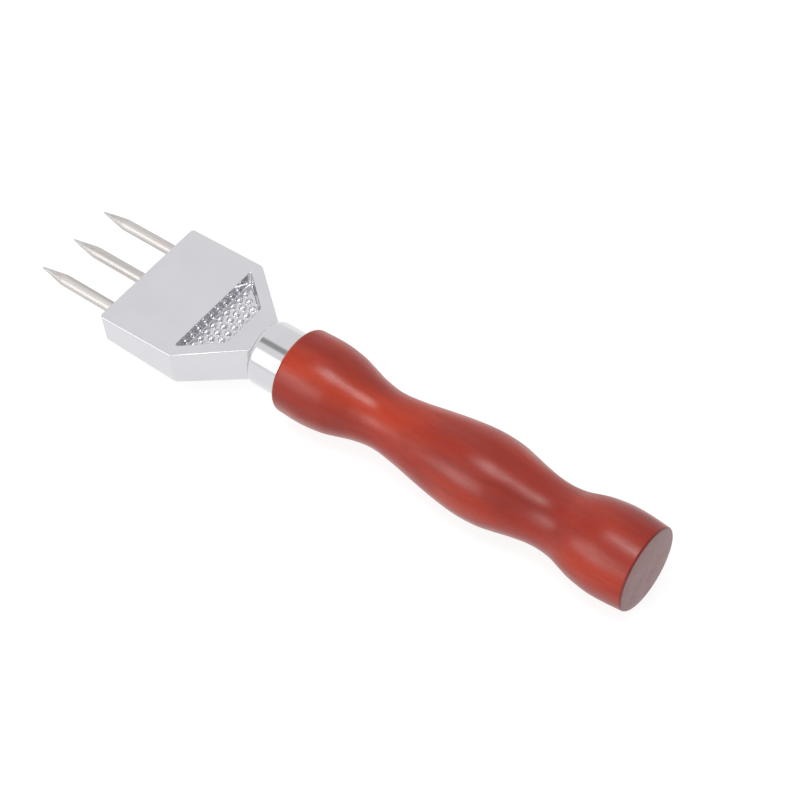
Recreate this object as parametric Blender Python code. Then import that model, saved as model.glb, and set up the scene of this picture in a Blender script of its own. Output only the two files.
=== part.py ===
"""Three-prong uncapping fork: a turned wooden handle, a chromed collar, a cast and chromed
wedge head and three steel prongs, held together on a double-ended stud.

Frame: +X runs along the tool from the flat end of the handle to the points of the prongs,
+Z is up out of the broad face of the head, and the origin is the middle of the handle's
flat end face. Lengths are in metres.
"""

import math

import bmesh
import bpy

MM = 0.001
TURNED_STEPS = 48
GAP = 0.3 * MM

# Prongs
TIP_X = 179.0 * MM
PRONG_RADIUS = 1.6 * MM
PRONG_PITCH = 11.75 * MM
PRONG_SEAT = 14.0 * MM
PRONG_POINT = 8.0 * MM
PRONG_TIP_RADIUS = 0.22 * MM
PRONG_STEPS = 20

# Head
HEAD_FRONT_X = 152.4 * MM
HEAD_SHOULDER_X = 128.5 * MM
HEAD_REAR_X = 113.1 * MM
HEAD_HALF_WIDTH = 17.9 * MM
HEAD_NECK_HALF_WIDTH = 5.65 * MM
HEAD_FRONT_HALF_THICKNESS = 4.3 * MM
HEAD_REAR_HALF_THICKNESS = 5.7 * MM
HEAD_FRONT_CORNER = 1.0 * MM
HEAD_SHOULDER_CORNER = 2.2 * MM
HEAD_EDGE = 0.5 * MM
CORNER_STEPS = 5

# Finger rest: a pocket of even depth, with drafted walls and domed studs, in each broad face
POCKET_FRONT_X = 129.87 * MM
POCKET_REAR_X = 119.4 * MM
POCKET_HALF_WIDTH = 15.15 * MM
POCKET_SIDE_SLOPE = 0.80
POCKET_DEPTH = 3.0 * MM
POCKET_FRONT_DRAFT = 0.19
POCKET_SIDE_DRAFT = 0.28
POCKET_REAR_DRAFT = 0.30
STUD_RADIUS = 0.9 * MM
STUD_HEIGHT = 0.8 * MM
STUD_ROOT = 0.4 * MM
STUD_STEPS = 8
# Each row: its place along the tool, its first stud's side offset, their pitch, how many
STUD_ROWS = (
    (127.95 * MM, -10.0 * MM, 2.53 * MM, 9),
    (125.47 * MM, -8.45 * MM, 2.45 * MM, 8),
    (123.02 * MM, -7.0 * MM, 2.41 * MM, 6),
    (120.65 * MM, -5.25 * MM, 2.36 * MM, 5),
)

# Collar between the head and the handle
COLLAR_FRONT_X = HEAD_REAR_X
COLLAR_RADIUS = 8.7 * MM
COLLAR_FRONT_ROUND = 2.0 * MM
COLLAR_SEAT_X = 100.0 * MM
COLLAR_REAR_X = 92.0 * MM
COLLAR_SPIGOT_RADIUS = 6.0 * MM
COLLAR_BORE_RADIUS = 3.5 * MM
BOSS_RADIUS = 4.9 * MM
BOSS_LENGTH = 4.0 * MM

# Stud that screws into the head at one end and into the wood at the other
STUD_BOLT_RADIUS = 3.0 * MM
STUD_BOLT_HEAD_X = 118.6 * MM
STUD_BOLT_WOOD_X = 66.0 * MM
STUD_BOLT_POINT = 4.0 * MM
METAL_THREAD_LENGTH = 11.0 * MM
METAL_THREAD_PITCH = 1.0 * MM
METAL_THREAD_DEPTH = 0.55 * MM
WOOD_THREAD_LENGTH = 24.0 * MM
WOOD_THREAD_PITCH = 2.5 * MM
WOOD_THREAD_DEPTH = 0.8 * MM
BOLT_STEPS = 12
RINGS_PER_PITCH = 4

# Handle
HANDLE_FRONT_X = 102.3 * MM
HANDLE_BUTT_RADIUS = 11.0 * MM
HANDLE_BUTT_ROUND = 0.6 * MM
HANDLE_RIM_RADIUS = 11.35 * MM
HANDLE_RIM_ROUND = 1.0 * MM
HANDLE_STEP = 2.6 * MM
# Turning stations, in millimetres: distance from the flat end, and radius there
HANDLE_STATIONS = (
    (0.6, 11.0), (5.0, 11.35), (10.0, 11.4), (16.0, 10.5), (21.0, 9.0), (25.0, 8.5),
    (29.0, 8.7), (34.0, 9.6), (40.5, 11.0), (47.0, 11.4), (54.0, 10.75), (61.5, 9.55),
    (68.0, 8.4), (75.0, 7.75), (81.5, 8.75), (88.0, 10.6), (94.5, 11.45), (101.3, 11.35),
)


def clear_scene():
    for obj in list(bpy.data.objects):
        bpy.data.objects.remove(obj, do_unlink=True)


def material(name, colour, metallic, roughness):
    made = bpy.data.materials.new(name)
    made.use_nodes = True
    shader = made.node_tree.nodes["Principled BSDF"]
    shader.inputs["Base Color"].default_value = (*colour, 1.0)
    shader.inputs["Metallic"].default_value = metallic
    shader.inputs["Roughness"].default_value = roughness
    return made


def new_object(name, bm, finish=None):
    bmesh.ops.recalc_face_normals(bm, faces=bm.faces)
    mesh = bpy.data.meshes.new(name)
    bm.to_mesh(mesh)
    bm.free()
    obj = bpy.data.objects.new(name, mesh)
    bpy.context.scene.collection.objects.link(obj)
    if finish:
        mesh.materials.append(finish)
        mesh.shade_smooth()
        mesh.set_sharp_from_angle(angle=math.radians(35))
    return obj


def arc(centre, radius, start, end, steps):
    """Points (x, r) on an arc about centre, between two angles in degrees."""
    angles = [math.radians(start + (end - start) * i / steps) for i in range(steps + 1)]
    return [(centre[0] + radius * math.cos(a), centre[1] + radius * math.sin(a)) for a in angles]


def turned(name, profile, finish=None, steps=TURNED_STEPS, closed=False):
    """Spin a profile of (x, radius) points about the X axis into one closed body."""
    bm = bmesh.new()
    verts = [bm.verts.new((x, 0.0, r)) for x, r in profile]
    edges = [bm.edges.new(pair) for pair in zip(verts, verts[1:])]
    if closed:
        edges.append(bm.edges.new((verts[-1], verts[0])))
    bmesh.ops.spin(bm, geom=verts + edges, cent=(0, 0, 0), axis=(1, 0, 0),
                   angle=math.tau, steps=steps, use_merge=True)
    bmesh.ops.remove_doubles(bm, verts=bm.verts, dist=1e-6)
    return new_object(name, bm, finish)


def boolean(obj, cutter, operation):
    """Cut or join a guide body, which stays in the file as a hidden wire shape."""
    cutter.hide_render = True
    cutter.display_type = "WIRE"
    modifier = obj.modifiers.new(cutter.name, "BOOLEAN")
    modifier.operation = operation
    modifier.solver = "EXACT"
    modifier.object = cutter


def smooth_through(stations, step):
    """A smooth line through the stations, as points about one step apart."""
    slopes = []
    for i in range(len(stations)):
        before, after = stations[max(i - 1, 0)], stations[min(i + 1, len(stations) - 1)]
        slopes.append((after[1] - before[1]) / (after[0] - before[0]))
    points = []
    for (x0, r0), (x1, r1), m0, m1 in zip(stations, stations[1:], slopes, slopes[1:]):
        span = x1 - x0
        count = max(1, round(span / step))
        for i in range(count):
            t = i / count
            points.append((
                x0 + span * t,
                (2 * t**3 - 3 * t**2 + 1) * r0 + (t**3 - 2 * t**2 + t) * span * m0
                + (3 * t**2 - 2 * t**3) * r1 + (t**3 - t**2) * span * m1,
            ))
    return points + [stations[-1]]


def handle(finish):
    """Turned handle with a stepped bore for the collar and the stud."""
    seat_radius = COLLAR_RADIUS + GAP
    spigot_radius = COLLAR_SPIGOT_RADIUS + GAP
    bolt_radius = STUD_BOLT_RADIUS + GAP
    bolt_end = STUD_BOLT_WOOD_X - GAP
    stations = [(x * MM, r * MM) for x, r in HANDLE_STATIONS]
    profile = [(0.0, 0.0)]
    profile += arc((HANDLE_BUTT_ROUND, HANDLE_BUTT_RADIUS - HANDLE_BUTT_ROUND),
                   HANDLE_BUTT_ROUND, 180, 90, 3)[:-1]
    profile += smooth_through(stations, HANDLE_STEP)[:-1]
    profile += arc((HANDLE_FRONT_X - HANDLE_RIM_ROUND, HANDLE_RIM_RADIUS - HANDLE_RIM_ROUND),
                   HANDLE_RIM_ROUND, 90, 0, 4)
    profile += [
        (HANDLE_FRONT_X, seat_radius),
        (COLLAR_SEAT_X - GAP, seat_radius),
        (COLLAR_SEAT_X - GAP, spigot_radius),
        (COLLAR_REAR_X - GAP, spigot_radius),
        (COLLAR_REAR_X - GAP, bolt_radius),
        (bolt_end, bolt_radius),
        (bolt_end - bolt_radius, 0.0),
    ]
    return turned("handle", profile, finish)


def collar(finish):
    """Stepped tube: its round front end shows, its spigot is in the wood."""
    rounding = arc((COLLAR_FRONT_X - COLLAR_FRONT_ROUND, COLLAR_RADIUS - COLLAR_FRONT_ROUND),
                   COLLAR_FRONT_ROUND, 0, 90, 6)
    boss_seat = COLLAR_FRONT_X - BOSS_LENGTH - GAP
    profile = rounding + [
        (COLLAR_SEAT_X, COLLAR_RADIUS),
        (COLLAR_SEAT_X, COLLAR_SPIGOT_RADIUS),
        (COLLAR_REAR_X, COLLAR_SPIGOT_RADIUS),
        (COLLAR_REAR_X, COLLAR_BORE_RADIUS),
        (boss_seat, COLLAR_BORE_RADIUS),
        (boss_seat, BOSS_RADIUS + GAP),
        (COLLAR_FRONT_X, BOSS_RADIUS + GAP),
    ]
    return turned("collar", profile, finish, closed=True)


def thread_depth(phase):
    """How far the flank is below the crest, 0 to 1, at a phase of one turn."""
    return abs(2.0 * (phase % 1.0) - 1.0)


def double_ended_stud(finish):
    """Steel stud with a metal thread in front and a coarse wood thread behind."""
    rings = []
    x = STUD_BOLT_HEAD_X
    metal_end = STUD_BOLT_HEAD_X - METAL_THREAD_LENGTH
    while x > metal_end:
        rings.append((x, METAL_THREAD_PITCH, METAL_THREAD_DEPTH, STUD_BOLT_RADIUS))
        x -= METAL_THREAD_PITCH / RINGS_PER_PITCH
    rings.append((metal_end, 1.0, 0.0, STUD_BOLT_RADIUS))
    wood_start = STUD_BOLT_WOOD_X + WOOD_THREAD_LENGTH
    rings.append((wood_start, 1.0, 0.0, STUD_BOLT_RADIUS))
    x = wood_start - WOOD_THREAD_PITCH / RINGS_PER_PITCH
    while x > STUD_BOLT_WOOD_X:
        radius = STUD_BOLT_RADIUS * min(1.0, 0.35 + 0.65 * (x - STUD_BOLT_WOOD_X) / STUD_BOLT_POINT)
        rings.append((x, WOOD_THREAD_PITCH, WOOD_THREAD_DEPTH, radius))
        x -= WOOD_THREAD_PITCH / RINGS_PER_PITCH
    bm = bmesh.new()
    loops = []
    for x, pitch, depth, radius in rings:
        loop = []
        for j in range(BOLT_STEPS):
            turn = j / BOLT_STEPS
            r = radius - depth * (radius / STUD_BOLT_RADIUS) * thread_depth(x / pitch - turn)
            angle = math.tau * turn
            loop.append(bm.verts.new((x, r * math.cos(angle), r * math.sin(angle))))
        loops.append(loop)
    for one, two in zip(loops, loops[1:]):
        for j in range(BOLT_STEPS):
            k = (j + 1) % BOLT_STEPS
            bm.faces.new((one[j], one[k], two[k], two[j]))
    bm.faces.new(loops[0])
    bm.faces.new(loops[-1])
    bmesh.ops.triangulate(bm, faces=bm.faces)
    return new_object("double_ended_stud", bm, finish)


def half_thickness(x):
    """Half the thickness of the wedge-shaped head at a place along the tool."""
    share = (HEAD_FRONT_X - x) / (HEAD_FRONT_X - HEAD_REAR_X)
    change = HEAD_REAR_HALF_THICKNESS - HEAD_FRONT_HALF_THICKNESS
    return HEAD_FRONT_HALF_THICKNESS + share * change


def rounded_corner(before, corner, after, radius):
    """Points on the arc that rounds one corner of an outline."""
    bx, by = before[0] - corner[0], before[1] - corner[1]
    ax, ay = after[0] - corner[0], after[1] - corner[1]
    to_before, to_after = math.atan2(by, bx), math.atan2(ay, ax)
    half = abs((to_before - to_after + math.pi) % math.tau - math.pi) / 2
    setback = radius / math.tan(half)
    if radius == 0:
        return [corner]
    start = (corner[0] + setback * math.cos(to_before), corner[1] + setback * math.sin(to_before))
    mid_x = math.cos(to_before) + math.cos(to_after)
    mid_y = math.sin(to_before) + math.sin(to_after)
    reach = radius / math.sin(half) / math.hypot(mid_x, mid_y)
    centre = (corner[0] + reach * mid_x, corner[1] + reach * mid_y)
    first = math.atan2(start[1] - centre[1], start[0] - centre[0])
    end_x = corner[0] + setback * math.cos(to_after)
    end_y = corner[1] + setback * math.sin(to_after)
    last = math.atan2(end_y - centre[1], end_x - centre[0])
    sweep = (last - first + math.pi) % math.tau - math.pi
    return [
        (centre[0] + radius * math.cos(first + sweep * i / CORNER_STEPS),
         centre[1] + radius * math.sin(first + sweep * i / CORNER_STEPS))
        for i in range(CORNER_STEPS + 1)
    ]


def head_outline():
    """Outline of the head in plan, run on a little into the collar's round front."""
    overrun = COLLAR_FRONT_ROUND
    slope = (HEAD_HALF_WIDTH - HEAD_NECK_HALF_WIDTH) / (HEAD_SHOULDER_X - HEAD_REAR_X)
    rear = (HEAD_REAR_X - overrun, HEAD_NECK_HALF_WIDTH - slope * overrun)
    side = [
        (HEAD_FRONT_X, HEAD_HALF_WIDTH, HEAD_FRONT_CORNER),
        (HEAD_SHOULDER_X, HEAD_HALF_WIDTH, HEAD_SHOULDER_CORNER),
        (*rear, 0.0),
    ]
    corners = side + [(x, -y, radius) for x, y, radius in reversed(side)]
    points = []
    for i, (x, y, radius) in enumerate(corners):
        before, after = corners[i - 1][:2], corners[(i + 1) % len(corners)][:2]
        points += rounded_corner(before, (x, y), after, radius)
    return points


def wedge(name, outline, finish=None):
    """Extrude an outline up and down to the head's wedge-shaped thickness."""
    bm = bmesh.new()
    face = bm.faces.new([bm.verts.new((x, y, half_thickness(x))) for x, y in outline])
    made = bmesh.ops.extrude_face_region(bm, geom=[face])
    for vert in made["geom"]:
        if isinstance(vert, bmesh.types.BMVert):
            vert.co.z = -half_thickness(vert.co.x)
    return new_object(name, bm, finish)


def pocket_ring(depth):
    """Corners (x, y) of a pocket's drafted outline at a depth below the broad face."""
    corners = []
    for x in (POCKET_FRONT_X - POCKET_FRONT_DRAFT * depth, POCKET_REAR_X + POCKET_REAR_DRAFT * depth):
        reach = POCKET_SIDE_SLOPE * (POCKET_FRONT_X - x) + POCKET_SIDE_DRAFT * depth
        corners.append((x, POCKET_HALF_WIDTH - reach))
    (front, wide), (rear, narrow) = corners
    return [(front, -wide), (front, wide), (rear, narrow), (rear, -narrow)]


def pocket_cutter(name, side):
    """Tapered block that cuts the finger rest into the upper or lower face."""
    bm = bmesh.new()
    rings = []
    for depth in (POCKET_DEPTH, -1.0 * MM):
        rings.append([bm.verts.new((x, y, side * (half_thickness(x) - depth)))
                      for x, y in pocket_ring(depth)])
    for j in range(4):
        k = (j + 1) % 4
        bm.faces.new((rings[0][j], rings[0][k], rings[1][k], rings[1][j]))
    bm.faces.new(rings[0])
    bm.faces.new(rings[1])
    return new_object(name, bm)


def finger_studs(name, side):
    """Rows of domed studs that stand on one pocket's floor."""
    bm = bmesh.new()
    for x, first, pitch, count in STUD_ROWS:
        floor = half_thickness(x) - POCKET_DEPTH
        for i in range(count):
            y = first + pitch * i
            rings = []
            for radius, z in ((STUD_RADIUS, -STUD_ROOT), (STUD_RADIUS, 0.2 * STUD_HEIGHT),
                              (0.62 * STUD_RADIUS, 0.8 * STUD_HEIGHT)):
                rings.append([
                    bm.verts.new((x + radius * math.cos(math.tau * (j + 0.5) / STUD_STEPS),
                                  y + radius * math.sin(math.tau * (j + 0.5) / STUD_STEPS),
                                  side * (floor + z)))
                    for j in range(STUD_STEPS)
                ])
            crown = bm.verts.new((x, y, side * (floor + STUD_HEIGHT)))
            for one, two in zip(rings, rings[1:]):
                for j in range(STUD_STEPS):
                    k = (j + 1) % STUD_STEPS
                    bm.faces.new((one[j], one[k], two[k], two[j]))
            for j in range(STUD_STEPS):
                bm.faces.new((rings[-1][j], rings[-1][(j + 1) % STUD_STEPS], crown))
            bm.faces.new(rings[0])
    return new_object(name, bm)


def prong_offsets():
    return {"prong_left": PRONG_PITCH, "prong_middle": 0.0, "prong_right": -PRONG_PITCH}


def head(finish):
    """Cast head: wedge body with prong holes, a tapped rear hole and two finger rests."""
    body = wedge("head", head_outline(), finish)
    bevel = body.modifiers.new("edges", "BEVEL")
    bevel.width = HEAD_EDGE
    bevel.segments = 2
    bevel.limit_method = "ANGLE"
    bevel.angle_limit = math.radians(40)

    boss = turned("boss_guide", [
        (HEAD_REAR_X + 3.0 * MM, 0.0), (HEAD_REAR_X + 3.0 * MM, BOSS_RADIUS),
        (HEAD_REAR_X - BOSS_LENGTH, BOSS_RADIUS), (HEAD_REAR_X - BOSS_LENGTH, 0.0),
    ], steps=32)
    clearance = COLLAR_FRONT_ROUND + GAP
    rounding = arc((COLLAR_FRONT_X - COLLAR_FRONT_ROUND, COLLAR_RADIUS - COLLAR_FRONT_ROUND),
                   clearance, 0, 90, 6)
    behind = COLLAR_FRONT_X - 3.0 * COLLAR_FRONT_ROUND
    collar_room = turned("collar_room_guide", rounding + [
        (behind, COLLAR_RADIUS + GAP), (behind, BOSS_RADIUS),
        (COLLAR_FRONT_X + GAP, BOSS_RADIUS),
    ], closed=True)
    boolean(body, collar_room, "DIFFERENCE")
    boolean(body, boss, "UNION")

    for face, side in (("upper", 1), ("lower", -1)):
        boolean(body, pocket_cutter(f"{face}_pocket_guide", side), "DIFFERENCE")
        boolean(body, finger_studs(f"{face}_finger_studs_guide", side), "UNION")

    for name, offset in prong_offsets().items():
        depth = PRONG_SEAT + GAP
        hole = turned(f"{name}_hole_guide", [
            (HEAD_FRONT_X + 2.0 * MM, 0.0), (HEAD_FRONT_X + 2.0 * MM, PRONG_RADIUS + GAP),
            (HEAD_FRONT_X - depth, PRONG_RADIUS + GAP), (HEAD_FRONT_X - depth, 0.0),
        ], steps=PRONG_STEPS)
        hole.location.y = offset
        boolean(body, hole, "DIFFERENCE")

    tapped = turned("tapped_hole_guide", [
        (STUD_BOLT_HEAD_X + GAP, 0.0), (STUD_BOLT_HEAD_X + GAP, STUD_BOLT_RADIUS + GAP),
        (HEAD_REAR_X - 2.0 * BOSS_LENGTH, STUD_BOLT_RADIUS + GAP),
        (HEAD_REAR_X - 2.0 * BOSS_LENGTH, 0.0),
    ], steps=24)
    boolean(body, tapped, "DIFFERENCE")
    return body


def prong(name, offset, finish):
    """Round steel prong, pressed into the head, with a long conical point."""
    shoulder = TIP_X - PRONG_POINT
    seat = HEAD_FRONT_X - PRONG_SEAT
    chamfer = 0.3 * MM
    made = turned(name, [
        (seat, 0.0), (seat, PRONG_RADIUS - chamfer), (seat + chamfer, PRONG_RADIUS),
        (shoulder - 0.6 * MM, PRONG_RADIUS), (shoulder + 0.6 * MM, PRONG_RADIUS - 0.1 * MM),
        (TIP_X - 0.2 * MM, PRONG_TIP_RADIUS), (TIP_X, 0.4 * PRONG_TIP_RADIUS), (TIP_X, 0.0),
    ], finish, steps=PRONG_STEPS)
    made.location.y = offset
    return made


def main():
    clear_scene()
    wood = material("lacquered_wood", (0.42, 0.055, 0.022), 0.0, 0.28)
    chrome = material("chrome_plate", (0.80, 0.80, 0.82), 1.0, 0.12)
    collar_chrome = material("collar_chrome", (0.84, 0.84, 0.85), 1.0, 0.06)
    zinc_steel = material("zinc_plated_steel", (0.62, 0.63, 0.65), 1.0, 0.35)
    handle(wood)
    collar(collar_chrome)
    double_ended_stud(zinc_steel)
    head(chrome)
    for name, offset in prong_offsets().items():
        steel = material(f"{name}_steel", (0.60, 0.58, 0.56), 1.0, 0.28)
        prong(name, offset, steel)


main()
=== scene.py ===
"""Looks of the uncapping fork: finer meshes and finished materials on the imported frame."""

import math

import bmesh
import bpy
from mathutils import Matrix, Vector


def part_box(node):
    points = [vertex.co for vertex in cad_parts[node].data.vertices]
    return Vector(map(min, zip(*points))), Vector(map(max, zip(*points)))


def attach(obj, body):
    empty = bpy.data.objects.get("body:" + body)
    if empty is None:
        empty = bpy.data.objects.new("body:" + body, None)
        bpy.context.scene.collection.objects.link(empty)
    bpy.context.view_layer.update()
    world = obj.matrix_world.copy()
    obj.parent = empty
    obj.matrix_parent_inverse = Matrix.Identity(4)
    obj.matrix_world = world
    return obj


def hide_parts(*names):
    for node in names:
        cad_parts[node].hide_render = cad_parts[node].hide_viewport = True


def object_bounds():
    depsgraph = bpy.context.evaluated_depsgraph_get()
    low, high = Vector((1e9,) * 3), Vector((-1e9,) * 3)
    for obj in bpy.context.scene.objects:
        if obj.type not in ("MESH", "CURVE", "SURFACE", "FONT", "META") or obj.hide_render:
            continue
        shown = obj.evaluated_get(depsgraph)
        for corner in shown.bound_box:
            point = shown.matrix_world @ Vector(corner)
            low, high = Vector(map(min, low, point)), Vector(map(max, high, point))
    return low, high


MM = 0.001
NEAR = 0.01 * MM
SEAM = 0.06 * MM

# Steps round one turn of a turned body
LATHE_STEPS = 144
COLLAR_ROOM_STEPS = 96
HOLE_STEPS = 64
PRONG_STEPS = 64

# Handle: its rounded ends, and where the points of its bore lie in the frame's mesh
BUTT_ROUND = 0.6 * MM
RIM_ROUND = 1.0 * MM
BORE_FROM_X = 50.0 * MM
BORE_LIMIT = 7.4 * MM
SEAT_FROM_X = 90.0 * MM
SEAT_LIMIT = 9.5 * MM

# Collar and prongs
COLLAR_ROUND = 2.0 * MM
COLLAR_ROOM = 6.0 * MM
PRONG_TIP_RADIUS = 0.22 * MM
PRONGS = ("prong_left", "prong_middle", "prong_right")

# Head: the casting's drawing
HEAD_FRONT_X = 152.4 * MM
SHOULDER_X = 128.5 * MM
REAR_X = 113.1 * MM
HALF_WIDTH = 17.9 * MM
NECK_HALF_WIDTH = 5.65 * MM
FRONT_HALF_THICKNESS = 4.3 * MM
REAR_HALF_THICKNESS = 5.7 * MM
FRONT_CORNER = 1.0 * MM
SHOULDER_CORNER = 2.2 * MM
EDGE_ROUND = 0.18 * MM
CORNER_STEPS = 14
COLLAR_OVERRUN = 2.0 * MM
BOSS_RADIUS = 4.9 * MM
BOSS_LENGTH = 4.0 * MM
BOSS_CHAMFER = 0.3 * MM
BOSS_ROOT = 3.0 * MM
HOLE_END_GAP = 0.3 * MM
HOLE_MOUTH = 0.5 * MM
BORE_GAP = 0.3 * MM
DRILL_POINT = 2.0 * MM

# Finger rest in each broad face of the head
POCKET_FRONT_X = 129.87 * MM
POCKET_REAR_X = 119.4 * MM
POCKET_HALF_WIDTH = 15.0 * MM
POCKET_SIDE_SLOPE = 0.80
POCKET_DEPTH = 3.0 * MM
POCKET_FRONT_DRAFT = 0.19
POCKET_SIDE_DRAFT = 0.28
POCKET_REAR_DRAFT = 0.30
POCKET_EDGE_ROUND = 0.16 * MM
POCKET_FOOT_ROUND = 0.25 * MM
POCKET_CORNER_ROUND = 0.9 * MM
POCKET_MARGIN = 0.5 * MM
CUTTER_RISE = 1.0 * MM
STUD_RADIUS = 0.9 * MM
STUD_FLARE = 0.12 * MM
STUD_HEIGHT = 0.8 * MM
STUD_ROOT = 0.4 * MM
STUD_STEPS = 28
STUD_DOME_STEPS = 8
# Each row: its place along the tool, its first stud's side offset, their pitch, how many
STUD_ROWS = (
    (127.95 * MM, -10.0 * MM, 2.53 * MM, 9),
    (125.47 * MM, -8.45 * MM, 2.45 * MM, 8),
    (123.02 * MM, -7.0 * MM, 2.41 * MM, 6),
    (120.65 * MM, -5.25 * MM, 2.36 * MM, 5),
)

# Camera: where it stands and aims, its roll in degrees and its lens in millimetres
CAMERA_PLACE = Vector((-0.13845, 0.23085, 0.40777))
CAMERA_AIM = Vector((0.07611, -0.00667, 0.0))
CAMERA_ROLL = 5.724
CAMERA_LENS = 95.867

# Light: directions are (turn about Z from +X, height above the floor), in degrees.
# Each patch of the studio: direction, half width, half height, softness, level it adds.
# In turn: the gap that draws the collar's dark line, the low softbox on the +Y side, and
# the dim end of the room behind the handle's flat end.
STUDIO_LEVEL = 1.0
STUDIO_PATCHES = (
    ((8.0, 61.0), 8.0, 14.0, 8.0, -0.58),
    ((64.0, 26.0), 15.0, 13.0, 20.0, 4.0),
    ((190.0, 25.0), 50.0, 40.0, 40.0, -0.45),
)
SOFTBOX_TOWARD = (72.0, 82.5)
SOFTBOX_DISTANCE = 0.75
SOFTBOX_SIZE = (0.28, 0.22)
SOFTBOX_LEVEL = 8.0
TOOL_MIDDLE = Vector((0.085, 0.0, 0.0))
FLOOR_REACH = 6.0
FLOOR_GLOW = 0.84

# Colours of the stained wood
STAIN_DARK = (0.185, 0.0095, 0.0026)
STAIN_MIDDLE = (0.258, 0.0140, 0.0027)
STAIN_LIGHT = (0.365, 0.0250, 0.0028)
STREAK_COLOUR = (0.150, 0.0070, 0.0028, 1.0)
FIBRE_COLOUR = (0.190, 0.0090, 0.0028, 1.0)
PORE_COLOUR = (0.090, 0.0050, 0.0028, 1.0)
END_GRAIN_COLOUR = (0.100, 0.0080, 0.0075, 1.0)
# Pale cream on the front rim's end: partly a painted highlight, the thin bright line along the rim's
# edge, coloured as bare wood
PALE_RIM_LINE_COLOUR = (0.62, 0.45, 0.33, 1.0)
END_GRAIN_FADE = (0.05 * MM, 0.6 * MM)
PALE_RIM_LINE_FADE = (102.05 * MM, 102.18 * MM)

# Colours of the metals and the floor
STEEL_DARK = (0.46, 0.435, 0.42)
STEEL_LIGHT = (0.64, 0.61, 0.59)
STEEL_BAND = (0.38, 0.36, 0.345, 1.0)
ZINC_DARK = (0.50, 0.51, 0.53)
ZINC_LIGHT = (0.66, 0.67, 0.68)
CHROME_TINT = (1.0, 0.99, 1.035)
CHROME_DULL = 0.965
PAPER_DARK = (0.20, 0.20, 0.20)
PAPER_LIGHT = (0.22, 0.22, 0.22)


# ---------------------------------------------------------------- node helpers
class Nodes:
    """Short ways to add and link the nodes of one material or world."""

    def __init__(self, tree):
        self.tree = tree

    def add(self, kind, **settings):
        """A new node of one kind, with its settings."""
        node = self.tree.nodes.new(kind)
        for key, value in settings.items():
            setattr(node, key, value)
        return node

    def put(self, socket, value):
        """Link an output to a socket, or set a plain value on it."""
        if isinstance(value, bpy.types.NodeSocket):
            self.tree.links.new(value, socket)
        else:
            socket.default_value = value

    def math(self, operation, a, b=0.0):
        """One sum on one or two values or outputs."""
        node = self.add("ShaderNodeMath", operation=operation)
        self.put(node.inputs[0], a)
        self.put(node.inputs[1], b)
        return node.outputs[0]

    def space(self, scale):
        """Object coordinates in metres times a scale along each axis."""
        coordinates = self.add("ShaderNodeTexCoord")
        mapping = self.add("ShaderNodeMapping")
        mapping.inputs["Scale"].default_value = scale
        self.put(mapping.inputs["Vector"], coordinates.outputs["Object"])
        return mapping.outputs["Vector"]

    def noise(self, scale, detail=4.0, roughness=0.5, distortion=0.0):
        """Noise with so many cells to the metre along each axis."""
        node = self.add("ShaderNodeTexNoise")
        self.put(node.inputs["Vector"], self.space(scale))
        node.inputs["Scale"].default_value = 1.0
        node.inputs["Detail"].default_value = detail
        node.inputs["Roughness"].default_value = roughness
        node.inputs["Distortion"].default_value = distortion
        return node.outputs["Fac"]

    def spread(self, value, low, high, to_low, to_high, smooth=False):
        """Carry the range low to high over to another range."""
        kind = "SMOOTHSTEP" if smooth else "LINEAR"
        node = self.add("ShaderNodeMapRange", interpolation_type=kind)
        self.put(node.inputs["Value"], value)
        node.inputs["From Min"].default_value = low
        node.inputs["From Max"].default_value = high
        node.inputs["To Min"].default_value = to_low
        node.inputs["To Max"].default_value = to_high
        return node.outputs["Result"]

    def blend(self, factor, a, b):
        """Colour a where the factor is 0 and colour b where it is 1."""
        node = self.add("ShaderNodeMix", data_type="RGBA")
        self.put(node.inputs[0], factor)
        self.put(node.inputs[6], a)
        self.put(node.inputs[7], b)
        return node.outputs[2]

    def ramp(self, value, stops):
        """Colour ramp with stops given as (place, colour)."""
        node = self.add("ShaderNodeValToRGB")
        self.put(node.inputs["Fac"], value)
        elements = node.color_ramp.elements
        while len(elements) < len(stops):
            elements.new(0.5)
        for element, (place, colour) in zip(elements, stops):
            element.position = place
            element.color = (*colour, 1.0)
        return node.outputs["Color"]

    def bump(self, height, distance):
        """Normal of a surface whose relief is at most the distance high."""
        node = self.add("ShaderNodeBump")
        node.inputs["Distance"].default_value = distance
        self.put(node.inputs["Height"], height)
        return node.outputs["Normal"]


def new_material(name):
    """A material, the helper for its nodes and its shader's inputs."""
    made = bpy.data.materials.new(name)
    made.use_nodes = True
    return made, Nodes(made.node_tree), made.node_tree.nodes["Principled BSDF"].inputs


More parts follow.
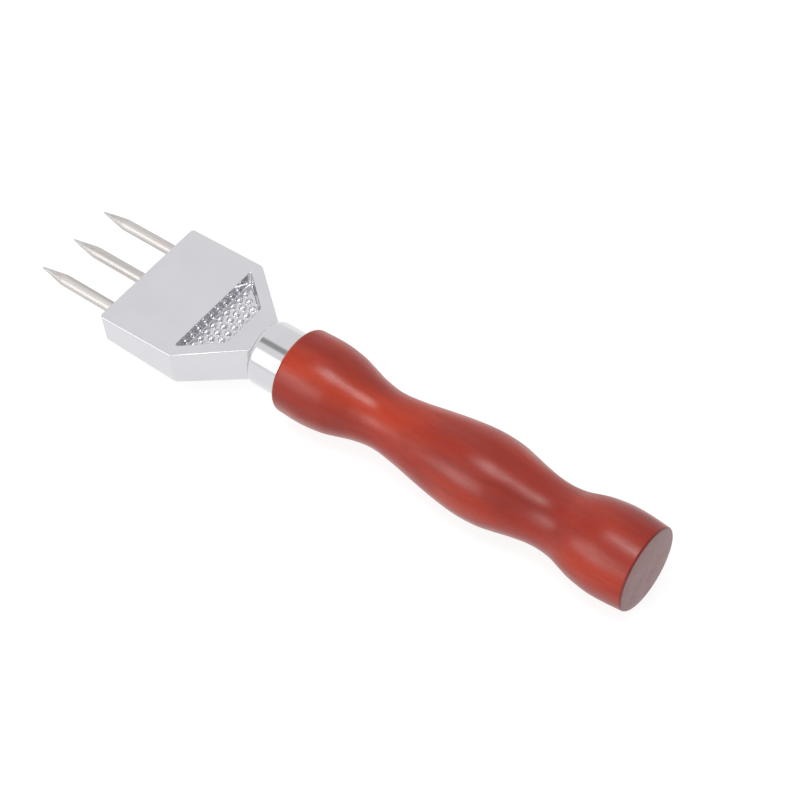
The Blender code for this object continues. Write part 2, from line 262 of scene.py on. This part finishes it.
# ---------------------------------------------------------------- materials
def wood_material():
    """Red-brown stained wood, its grain along the handle, under patchy lacquer."""
    made, n, shader = new_material("stained_lacquered_wood")
    tone = n.noise((24.0, 70.0, 70.0), 2.0, 0.5, 0.3)
    streaks = n.noise((14.0, 190.0, 190.0), 5.0, 0.55, 0.6)
    fibres = n.noise((60.0, 1500.0, 1500.0), 3.0, 0.6)
    pores = n.spread(n.noise((420.0, 2600.0, 2600.0), 1.0, 0.4), 0.25, 0.34, 1.0, 0.0)

    stain = n.ramp(tone, [
        (0.28, STAIN_DARK),
        (0.50, STAIN_MIDDLE),
        (0.72, STAIN_LIGHT),
    ])
    dark_streak = n.spread(streaks, 0.50, 0.70, 0.0, 0.45, smooth=True)
    stain = n.blend(dark_streak, stain, STREAK_COLOUR)
    stain = n.blend(n.spread(fibres, 0.35, 0.65, 0.0, 0.22), stain, FIBRE_COLOUR)
    stain = n.blend(n.math("MULTIPLY", pores, 0.35), stain, PORE_COLOUR)

    along = n.add("ShaderNodeSeparateXYZ")
    n.put(along.inputs[0], n.add("ShaderNodeTexCoord").outputs["Object"])
    end_grain = n.spread(along.outputs["X"], *END_GRAIN_FADE, 0.80, 0.0, smooth=True)
    stain = n.blend(end_grain, stain, END_GRAIN_COLOUR)
    # The front rim's end is painted pale cream: partly a painted highlight line along the rim's
    # edge, in the colour of bare wood
    pale_rim_line = n.spread(along.outputs["X"], *PALE_RIM_LINE_FADE, 0.0, 0.85, smooth=True)
    stain = n.blend(pale_rim_line, stain, PALE_RIM_LINE_COLOUR)
    n.put(shader["Base Color"], stain)

    n.put(shader["Roughness"], n.spread(fibres, 0.3, 0.7, 0.45, 0.62))
    shader["Specular IOR Level"].default_value = 0.05
    gloss = n.noise((45.0, 260.0, 260.0), 3.0, 0.6)
    patchy = n.spread(gloss, 0.3, 0.7, 0.60, 0.95)
    n.put(shader["Coat Weight"], n.math("MAXIMUM", patchy, n.math("MULTIPLY", end_grain, 1.2)))
    n.put(shader["Coat Roughness"], n.spread(gloss, 0.3, 0.7, 0.34, 0.24))
    shader["Coat IOR"].default_value = 1.45
    relief = n.math("SUBTRACT", n.math("MULTIPLY", fibres, 0.6), n.math("MULTIPLY", pores, 0.5))
    n.put(shader["Normal"], n.bump(relief, 0.012 * MM))
    peel = n.noise((330.0, 330.0, 330.0), 2.0, 0.5)
    n.put(shader["Coat Normal"], n.bump(peel, 0.006 * MM))
    return made


def chrome_material(name, level, roughness, wave):
    """Chrome plate with cloudy tone, hairline polishing marks and slight waves."""
    made, n, shader = new_material(name)
    clouds = n.noise((90.0, 90.0, 90.0), 2.0, 0.5)
    bright = tuple(part * level for part in CHROME_TINT)
    dull = tuple(CHROME_DULL * part for part in bright)
    n.put(shader["Base Color"], n.ramp(clouds, [(0.35, dull), (0.65, bright)]))
    shader["Metallic"].default_value = 1.0
    marks = n.noise((700.0, 5200.0, 5200.0), 2.0, 0.6)
    n.put(shader["Roughness"], n.spread(marks, 0.3, 0.7, 0.85 * roughness, 1.25 * roughness))
    n.put(shader["Normal"], n.bump(n.noise((150.0, 150.0, 150.0), 1.0, 0.4), wave))
    return made


def steel_material():
    """Ground stainless steel with fine lines along the prong."""
    made, n, shader = new_material("ground_stainless_steel")
    lines = n.noise((10.0, 3000.0, 3000.0), 3.0, 0.6)
    bands = n.noise((30.0, 700.0, 700.0), 2.0, 0.5)
    tint = n.ramp(lines, [(0.30, STEEL_DARK), (0.70, STEEL_LIGHT)])
    tint = n.blend(n.spread(bands, 0.45, 0.7, 0.0, 0.30), tint, STEEL_BAND)
    n.put(shader["Base Color"], tint)
    shader["Metallic"].default_value = 1.0
    n.put(shader["Roughness"], n.spread(lines, 0.3, 0.7, 0.42, 0.54))
    n.put(shader["Normal"], n.bump(lines, 0.001 * MM))
    return made


def zinc_material():
    """Dull zinc plate on the hidden stud."""
    made, n, shader = new_material("zinc_plated_screw_steel")
    grains = n.noise((900.0, 900.0, 900.0), 3.0, 0.6)
    n.put(shader["Base Color"], n.ramp(grains, [(0.3, ZINC_DARK), (0.7, ZINC_LIGHT)]))
    shader["Metallic"].default_value = 1.0
    n.put(shader["Roughness"], n.spread(grains, 0.3, 0.7, 0.30, 0.45))
    return made


def floor_material():
    """Matt grey paper that glows nearly white by itself, which keeps the shadow faint."""
    made, n, shader = new_material("white_paper_sweep")
    mottle = n.noise((14.0, 14.0, 14.0), 3.0, 0.5)
    n.put(shader["Base Color"], n.ramp(mottle, [(0.3, PAPER_DARK), (0.7, PAPER_LIGHT)]))
    shader["Roughness"].default_value = 0.9
    shader["Specular IOR Level"].default_value = 0.0
    shader["Emission Color"].default_value = (1.0, 1.0, 1.0, 1.0)
    shader["Emission Strength"].default_value = FLOOR_GLOW
    return made


# ---------------------------------------------------------------- mesh helpers
def new_object(name, bm):
    """Turn a finished bmesh into an object of the scene."""
    bmesh.ops.recalc_face_normals(bm, faces=bm.faces)
    mesh = bpy.data.meshes.new(name)
    bm.to_mesh(mesh)
    bm.free()
    obj = bpy.data.objects.new(name, mesh)
    bpy.context.scene.collection.objects.link(obj)
    return obj


def finish_piece(obj, material, slot, *nodes):
    """Give a piece its material, hang it on the root body and hide the frame's nodes it stands for.
    """
    obj.data.materials.clear()
    obj.data.materials.append(material)
    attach(obj, "root")
    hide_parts(*nodes)
    return obj


def arc(centre, radius, start, end, steps):
    """Points (x, r) on an arc about centre, between two angles in degrees."""
    angles = [math.radians(start + (end - start) * i / steps) for i in range(steps + 1)]
    return [(centre[0] + radius * math.cos(a), centre[1] + radius * math.sin(a)) for a in angles]


def turned(name, profile, steps=LATHE_STEPS, closed=False, y=0.0):
    """Spin a profile of (x, radius) points about the tool's axis, or beside it."""
    bm = bmesh.new()
    verts = [bm.verts.new((x, 0.0, r)) for x, r in profile]
    edges = [bm.edges.new(pair) for pair in zip(verts, verts[1:])]
    if closed:
        edges.append(bm.edges.new((verts[-1], verts[0])))
    bmesh.ops.spin(bm, geom=verts + edges, cent=(0, 0, 0), axis=(1, 0, 0),
                   angle=math.tau, steps=steps, use_merge=True)
    bmesh.ops.remove_doubles(bm, verts=bm.verts, dist=1e-7)
    bmesh.ops.translate(bm, verts=bm.verts, vec=(0.0, y, 0.0))
    return new_object(name, bm)


def shade(obj, angle):
    """Smooth shading with hard edges where faces meet at more than the angle."""
    obj.data.shade_smooth()
    obj.data.set_sharp_from_angle(angle=math.radians(angle))


def node_profile(node, y=0.0):
    """Points (x, radius) of a turned node, read off the frame along one generatrix."""
    points = set()
    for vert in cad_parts[node].data.vertices:
        if abs(vert.co.y - y) < 1e-5 and vert.co.z > -1e-6:
            points.add((round(vert.co.x, 6), round(vert.co.z, 6)))
    return sorted(points)


def refined(points, parts):
    """A smooth line through the points, with each stretch cut into equal parts."""
    line = []
    for i in range(len(points) - 1):
        here, there = Vector(points[i]), Vector(points[i + 1])
        reach = (there - here).length
        leave = (there - Vector(points[max(i - 1, 0)])).normalized() * reach
        arrive = (Vector(points[min(i + 2, len(points) - 1)]) - here).normalized() * reach
        for k in range(parts):
            t = k / parts
            spot = here * (2 * t**3 - 3 * t**2 + 1) + leave * (t**3 - 2 * t**2 + t)
            spot += there * (3 * t**2 - 2 * t**3) + arrive * (t**3 - t**2)
            line.append(tuple(spot))
    return line + [points[-1]]


def apply_modifiers(obj):
    """Replace the object's mesh by the result of its modifiers."""
    graph = bpy.context.evaluated_depsgraph_get()
    obj.data = bpy.data.meshes.new_from_object(obj.evaluated_get(graph))
    obj.modifiers.clear()


def boolean(obj, guide, operation):
    """Cut or join a guide body, which is removed afterwards."""
    modifier = obj.modifiers.new("cut_or_join", "BOOLEAN")
    modifier.operation = operation
    modifier.solver = "EXACT"
    modifier.object = guide
    apply_modifiers(obj)
    bpy.data.objects.remove(guide, do_unlink=True)


# ---------------------------------------------------------------- turned pieces
def handle_piece(material):
    """The turned wooden handle, its ends rounded over and its stepped bore open."""
    points = node_profile("handle")
    end_x = max(x for x, r in points)
    bore = [(x, r) for x, r in points
            if x > BORE_FROM_X and r < BORE_LIMIT or x > SEAT_FROM_X and r < SEAT_LIMIT]
    skin = [(x, r) for x, r in points if (x, r) not in bore]
    body = [(x, r) for x, r in skin if BUTT_ROUND - NEAR < x < end_x - RIM_ROUND + NEAR]
    butt_x, butt_radius = body[0]
    rim_x, rim_radius = body[-1]
    rim_round = end_x - rim_x
    line = [(0.0, 0.0), (0.0, butt_radius / 2)]
    line += arc((butt_x, butt_radius - butt_x), butt_x, 180, 90, steps=8)[:-1]
    line += refined(body, parts=5)[:-1]
    line += arc((rim_x, rim_radius - rim_round), rim_round, 90, 0, steps=10)
    line += sorted(bore, key=lambda point: (-point[0], -point[1]))
    obj = turned("handle_turned", line)
    shade(obj, 30)
    return finish_piece(obj, material, "handle_wood", "handle")


def collar_piece(material):
    """The chromed collar: round front end, straight barrel and a spigot in the wood."""
    points = node_profile("collar")
    front_x = max(x for x, r in points)
    rear_x = min(x for x, r in points)
    radius = max(r for x, r in points)
    rounding = front_x - max(x for x, r in points if r == radius)
    bore = min(r for x, r in points)
    spigot = max(r for x, r in points if x == rear_x)
    seat_x = min(x for x, r in points if r == radius)
    line = arc((front_x - rounding, radius - rounding), rounding, 0, 90, steps=18)
    line += [(seat_x, radius), (seat_x, spigot), (rear_x, spigot), (rear_x, bore)]
    line += [(front_x - BOSS_LENGTH, bore), (front_x - BOSS_LENGTH, BOSS_RADIUS + SEAM)]
    line += [(front_x, BOSS_RADIUS + SEAM)]
    obj = turned("collar_turned", line, closed=True)
    shade(obj, 30)
    return finish_piece(obj, material, "collar_chrome", "collar")


def prong_piece(node, material):
    """One ground prong with its chamfered root and its long point."""
    low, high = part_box(node)
    y = (low.y + high.y) / 2
    points = node_profile(node, y)
    shank, cone = points[:3], points[2:-1]
    tip_x = points[-1][0]
    line = [(shank[0][0], 0.0)] + shank
    line += refined(cone, parts=6)[1:]
    line += arc((tip_x - PRONG_TIP_RADIUS, 0.0), PRONG_TIP_RADIUS, 70, 0, steps=6)
    obj = turned(node + "_ground", line, steps=PRONG_STEPS, y=y)
    shade(obj, 30)
    return finish_piece(obj, material, "prong_steel", node)


# ---------------------------------------------------------------- head
def half_thickness(x):
    """Half the thickness of the wedge-shaped head at a place along the tool."""
    share = (HEAD_FRONT_X - x) / (HEAD_FRONT_X - REAR_X)
    return FRONT_HALF_THICKNESS + share * (REAR_HALF_THICKNESS - FRONT_HALF_THICKNESS)


def rounded_corner(before, corner, after, radius):
    """Points on the arc that rounds one corner of an outline."""
    corner = Vector(corner)
    if radius == 0:
        return [corner]
    to_before = (Vector(before) - corner).normalized()
    to_after = (Vector(after) - corner).normalized()
    half = to_before.angle(to_after) / 2
    centre = corner + (to_before + to_after).normalized() * radius / math.sin(half)
    start = corner + to_before * radius / math.tan(half) - centre
    end = corner + to_after * radius / math.tan(half) - centre
    sweep = start.angle(end)
    points = []
    for i in range(CORNER_STEPS + 1):
        t = i / CORNER_STEPS
        spoke = start * math.sin((1 - t) * sweep) + end * math.sin(t * sweep)
        points.append(centre + spoke / math.sin(sweep))
    return points


def head_outline():
    """Outline of the head in plan, run on a little into the collar's round front."""
    slope = (HALF_WIDTH - NECK_HALF_WIDTH) / (SHOULDER_X - REAR_X)
    side = [
        (HEAD_FRONT_X, HALF_WIDTH, FRONT_CORNER),
        (SHOULDER_X, HALF_WIDTH, SHOULDER_CORNER),
        (REAR_X - COLLAR_OVERRUN, NECK_HALF_WIDTH - slope * COLLAR_OVERRUN, 0.0),
    ]
    corners = side + [(x, -y, radius) for x, y, radius in reversed(side)]
    points = []
    for i, (x, y, radius) in enumerate(corners):
        before, after = corners[i - 1][:2], corners[(i + 1) % len(corners)][:2]
        points += rounded_corner(before, (x, y), after, radius)
    return points


def wedge_body():
    """Extrude the outline up and down to the head's wedge-shaped thickness."""
    bm = bmesh.new()
    face = bm.faces.new([bm.verts.new((x, y, half_thickness(x))) for x, y in head_outline()])
    made = bmesh.ops.extrude_face_region(bm, geom=[face])
    for vert in made["geom"]:
        if isinstance(vert, bmesh.types.BMVert):
            vert.co.z = -half_thickness(vert.co.x)
    bmesh.ops.recalc_face_normals(bm, faces=bm.faces)
    rims = [edge for edge in bm.edges if edge.calc_face_angle(0.0) > math.radians(40)]
    bmesh.ops.bevel(bm, geom=rims, offset=EDGE_ROUND, segments=5, profile=0.5, affect="EDGES")
    return new_object("head_cast", bm)


def pocket_ring(depth):
    """Corners (x, y) of a pocket's drafted outline at a depth below the broad face."""
    front = POCKET_FRONT_X - POCKET_FRONT_DRAFT * depth
    rear = POCKET_REAR_X + POCKET_REAR_DRAFT * depth
    corners = []
    for x in (front, rear):
        reach = POCKET_SIDE_SLOPE * (POCKET_FRONT_X - x) + POCKET_SIDE_DRAFT * depth
        corners.append((x, POCKET_HALF_WIDTH - reach))
    (front, wide), (rear, narrow) = corners
    return [(front, -wide), (front, wide), (rear, narrow), (rear, -narrow)]


def pocket_cutter(side):
    """Tapered block that cuts one finger rest, its corners and its foot rounded."""
    bm = bmesh.new()
    rings = []
    for depth in (POCKET_DEPTH, -CUTTER_RISE):
        rings.append([bm.verts.new((x, y, side * (half_thickness(x) - depth)))
                      for x, y in pocket_ring(depth)])
    for j in range(4):
        k = (j + 1) % 4
        bm.faces.new((rings[0][j], rings[0][k], rings[1][k], rings[1][j]))
    bm.faces.new(rings[0])
    bm.faces.new(rings[1])
    bmesh.ops.recalc_face_normals(bm, faces=bm.faces)
    floor_level = half_thickness(POCKET_REAR_X) - POCKET_DEPTH + 0.1 * MM
    upright = []
    for edge in bm.edges:
        one, two = edge.verts
        if (abs(one.co.z) < floor_level) != (abs(two.co.z) < floor_level):
            upright.append(edge)
    bmesh.ops.bevel(bm, geom=upright, offset=POCKET_CORNER_ROUND, segments=8, profile=0.5,
                    affect="EDGES")
    foot = [edge for edge in bm.edges if max(abs(vert.co.z) for vert in edge.verts) < floor_level]
    bmesh.ops.bevel(bm, geom=foot, offset=POCKET_FOOT_ROUND, segments=4, profile=0.5,
                    affect="EDGES")
    return new_object("pocket_cutter", bm)


def round_pocket_rims(obj):
    """Round the pockets' upper edges a little, as casting and plating leave them."""
    bm = bmesh.new()
    bm.from_mesh(obj.data)
    edges = []
    for edge in bm.edges:
        middle = (edge.verts[0].co + edge.verts[1].co) / 2
        half_width = POCKET_HALF_WIDTH - POCKET_SIDE_SLOPE * (POCKET_FRONT_X - middle.x)
        along = POCKET_REAR_X - POCKET_MARGIN < middle.x < POCKET_FRONT_X + POCKET_MARGIN
        across = abs(middle.y) < half_width + POCKET_MARGIN
        on_face = abs(abs(middle.z) - half_thickness(middle.x)) < 2 * NEAR
        sharp = edge.calc_face_angle(0.0) > math.radians(20)
        if along and across and on_face and sharp:
            edges.append(edge)
    bmesh.ops.bevel(bm, geom=edges, offset=POCKET_EDGE_ROUND, segments=3, profile=0.5,
                    affect="EDGES", clamp_overlap=True)
    bm.to_mesh(obj.data)
    bm.free()


def stud_profile():
    """Half section of one stud as (radius, height): root, flared foot, domed top."""
    foot_radius = STUD_RADIUS + STUD_FLARE
    points = [(foot_radius, -STUD_ROOT), (foot_radius, -2 * NEAR)]
    points += arc((foot_radius, STUD_FLARE), STUD_FLARE, 250, 190, steps=2)
    base = points[-1][1] + 5 * NEAR
    for i in range(STUD_DOME_STEPS):
        turn = math.radians(90 * i / STUD_DOME_STEPS)
        height = base + (STUD_HEIGHT - base) * math.sin(turn)
        points.append((STUD_RADIUS * math.cos(turn), height))
    return points


def add_stud(bm, side, x, y):
    """One stud at a place on the pocket's floor, as a closed body."""
    rings = []
    for radius, height in stud_profile():
        ring = []
        for j in range(STUD_STEPS):
            turn = math.tau * (j + 0.5) / STUD_STEPS
            spot = (x + radius * math.cos(turn), y + radius * math.sin(turn))
            floor = half_thickness(spot[0]) - POCKET_DEPTH
            ring.append(bm.verts.new((*spot, side * (floor + height))))
        rings.append(ring)
    crown_height = half_thickness(x) - POCKET_DEPTH + STUD_HEIGHT
    crown = bm.verts.new((x, y, side * crown_height))
    for j in range(STUD_STEPS):
        k = (j + 1) % STUD_STEPS
        for one, two in zip(rings, rings[1:]):
            bm.faces.new((one[j], one[k], two[k], two[j]))
        bm.faces.new((rings[-1][j], rings[-1][k], crown))
    bm.faces.new(rings[0])


def studs(side):
    """Rows of domed studs that stand on one pocket's floor."""
    bm = bmesh.new()
    for x, first, pitch, count in STUD_ROWS:
        for i in range(count):
            add_stud(bm, side, x, first + pitch * i)
    return new_object("studs", bm)


def collar_room():
    """The space that the collar takes up between the head and its boss."""
    front_x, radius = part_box("collar")[1].xz
    back_x = front_x - COLLAR_ROOM
    centre = (front_x - COLLAR_ROUND, radius - COLLAR_ROUND)
    line = arc(centre, COLLAR_ROUND + SEAM, 0, 90, steps=18)
    line += [(back_x, radius + SEAM), (back_x, BOSS_RADIUS), (front_x + SEAM, BOSS_RADIUS)]
    return turned("collar_room", line, steps=COLLAR_ROOM_STEPS, closed=True)


def boss():
    """The head's round boss, chamfered at its end, which the collar sits on."""
    root_x, end_x = REAR_X + BOSS_ROOT, REAR_X - BOSS_LENGTH
    line = [(root_x, 0.0), (root_x, BOSS_RADIUS), (end_x + BOSS_CHAMFER, BOSS_RADIUS)]
    line += [(end_x, BOSS_RADIUS - BOSS_CHAMFER), (end_x, 0.0)]
    return turned("boss", line, steps=HOLE_STEPS)


def prong_hole(node):
    """The blind hole of one prong, with a small countersink at its mouth."""
    low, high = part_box(node)
    end_x, radius = low.x - HOLE_END_GAP, high.z + SEAM
    front_x = HEAD_FRONT_X + HOLE_MOUTH / 2
    line = [(end_x, 0.0), (end_x, radius), (HEAD_FRONT_X - HOLE_MOUTH / 2, radius)]
    line += [(front_x, radius + HOLE_MOUTH), (front_x, 0.0)]
    return turned("hole", line, steps=HOLE_STEPS, y=(low.y + high.y) / 2)


def stud_bore():
    """The drilled bore of the double-ended stud, from behind the boss to a drill point."""
    stud_end, stud_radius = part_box("double_ended_stud")[1].xz
    mouth_x = REAR_X - 2 * BOSS_LENGTH
    radius = stud_radius + BORE_GAP
    line = [(mouth_x, 0.0), (mouth_x, radius)]
    line += [(stud_end + BORE_GAP, radius), (stud_end + DRILL_POINT, 0.0)]
    return turned("bore", line, steps=HOLE_STEPS)


def head_piece(material):
    """The cast head with its seat on the collar, its pockets, studs and prong holes."""
    obj = wedge_body()
    boolean(obj, collar_room(), "DIFFERENCE")
    boolean(obj, boss(), "UNION")
    for side in (1, -1):
        boolean(obj, pocket_cutter(side), "DIFFERENCE")
    round_pocket_rims(obj)
    for side in (1, -1):
        boolean(obj, studs(side), "UNION")
    for node in PRONGS:
        boolean(obj, prong_hole(node), "DIFFERENCE")
    boolean(obj, stud_bore(), "DIFFERENCE")
    shade(obj, 32)
    weighted = obj.modifiers.new("flat_faces", "WEIGHTED_NORMAL")
    weighted.keep_sharp = True
    weighted.weight = 90
    return finish_piece(obj, material, "head_chrome", "head")


# ---------------------------------------------------------------- stage
def direction(turn, height):
    """Unit vector towards a direction given as (turn, height) in degrees."""
    turn, height = math.radians(turn), math.radians(height)
    return Vector((math.cos(turn) * math.cos(height), math.sin(turn) * math.cos(height),
                   math.sin(height)))


def make_floor(level):
    """Wide flat floor at the given height."""
    bm = bmesh.new()
    bmesh.ops.create_grid(bm, x_segments=8, y_segments=8, size=FLOOR_REACH)
    bmesh.ops.translate(bm, verts=bm.verts, vec=(0.0, 0.0, level))
    obj = new_object("floor", bm)
    obj.data.materials.append(floor_material())


def patch(n, ray, toward, half_width, half_height, softness):
    """Soft-edged rectangle seen from the tool in one direction, as a 0 to 1 mask."""
    middle = direction(*toward)
    across = Vector((-middle.y, middle.x, 0.0)).normalized()
    masks = []
    for axis, half in ((across, half_width), (middle.cross(across), half_height)):
        offset = n.add("ShaderNodeVectorMath", operation="DOT_PRODUCT")
        n.put(offset.inputs[0], ray)
        offset.inputs[1].default_value = axis
        inner = math.sin(math.radians(half - softness / 2))
        outer = math.sin(math.radians(half + softness / 2))
        distance = n.math("ABSOLUTE", offset.outputs["Value"])
        masks.append(n.spread(distance, inner, outer, 1.0, 0.0, smooth=True))
    front = n.add("ShaderNodeVectorMath", operation="DOT_PRODUCT")
    n.put(front.inputs[0], ray)
    front.inputs[1].default_value = middle
    masks.append(n.math("GREATER_THAN", front.outputs["Value"], 0.0))
    return n.math("MULTIPLY", n.math("MULTIPLY", masks[0], masks[1]), masks[2])


def make_world():
    """White studio all round, with soft-edged patches that are brighter or dimmer."""
    world = bpy.data.worlds.new("studio")
    bpy.context.scene.world = world
    world.use_nodes = True
    n = Nodes(world.node_tree)
    background = world.node_tree.nodes["Background"]
    background.inputs["Color"].default_value = (1.0, 1.0, 1.0, 1.0)
    ray = n.add("ShaderNodeTexCoord").outputs["Generated"]
    level = None
    for toward, half_width, half_height, softness, change in STUDIO_PATCHES:
        mask = patch(n, ray, toward, half_width, half_height, softness)
        added = n.math("MULTIPLY", mask, change)
        level = n.math("ADD", added, STUDIO_LEVEL if level is None else level)
    n.put(background.inputs["Strength"], level)


def softbox(name, toward, distance, width, height, level):
    """Area light that faces the tool; its level is its energy over four times its area."""
    light = bpy.data.lights.new(name, "AREA")
    light.shape = "RECTANGLE"
    light.size = width
    light.size_y = height
    light.energy = 4.0 * level * width * height
    obj = bpy.data.objects.new(name, light)
    bpy.context.scene.collection.objects.link(obj)
    obj.location = TOOL_MIDDLE + direction(*toward) * distance
    obj.rotation_euler = (TOOL_MIDDLE - obj.location).to_track_quat("-Z", "Y").to_euler()


def make_camera():
    """The camera at the photo's viewing angle."""
    data = bpy.data.cameras.new("camera")
    data.lens = CAMERA_LENS
    data.sensor_width = 36.0
    data.clip_start = 0.01
    data.clip_end = 50.0
    obj = bpy.data.objects.new("camera", data)
    bpy.context.scene.collection.objects.link(obj)
    forward = (CAMERA_AIM - CAMERA_PLACE).normalized()
    level = forward.to_track_quat("-Z", "Y")
    roll = Matrix.Rotation(math.radians(-CAMERA_ROLL), 4, "Z")
    obj.matrix_world = Matrix.Translation(CAMERA_PLACE) @ level.to_matrix().to_4x4() @ roll
    bpy.context.scene.camera = obj


def make_lights():
    """The studio, its overhead softbox and a plain view transform."""
    make_world()
    softbox("softbox_overhead", SOFTBOX_TOWARD, SOFTBOX_DISTANCE, *SOFTBOX_SIZE, SOFTBOX_LEVEL)
    bpy.context.scene.view_settings.view_transform = "Standard"


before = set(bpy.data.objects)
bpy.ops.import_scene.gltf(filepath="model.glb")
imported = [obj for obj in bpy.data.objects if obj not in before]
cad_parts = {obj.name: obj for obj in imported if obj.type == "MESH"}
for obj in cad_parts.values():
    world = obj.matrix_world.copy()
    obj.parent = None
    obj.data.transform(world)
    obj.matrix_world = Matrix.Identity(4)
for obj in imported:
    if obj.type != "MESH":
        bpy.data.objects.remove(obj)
cad_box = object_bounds()
wood = wood_material()
collar_chrome = chrome_material("polished_chrome_plate", level=0.65, roughness=0.06, wave=0.004 * MM)
head_chrome = chrome_material("satin_chrome_casting", level=0.65, roughness=0.09, wave=0.006 * MM)
steel = steel_material()
handle_piece(wood)
collar_piece(collar_chrome)
head_piece(head_chrome)
for prong in PRONGS:
    prong_piece(prong, steel)
hidden_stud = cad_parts["double_ended_stud"]
hidden_stud.data.materials.clear()
hidden_stud.data.materials.append(zinc_material())
make_floor(cad_box[0][2])
make_lights()
make_camera()
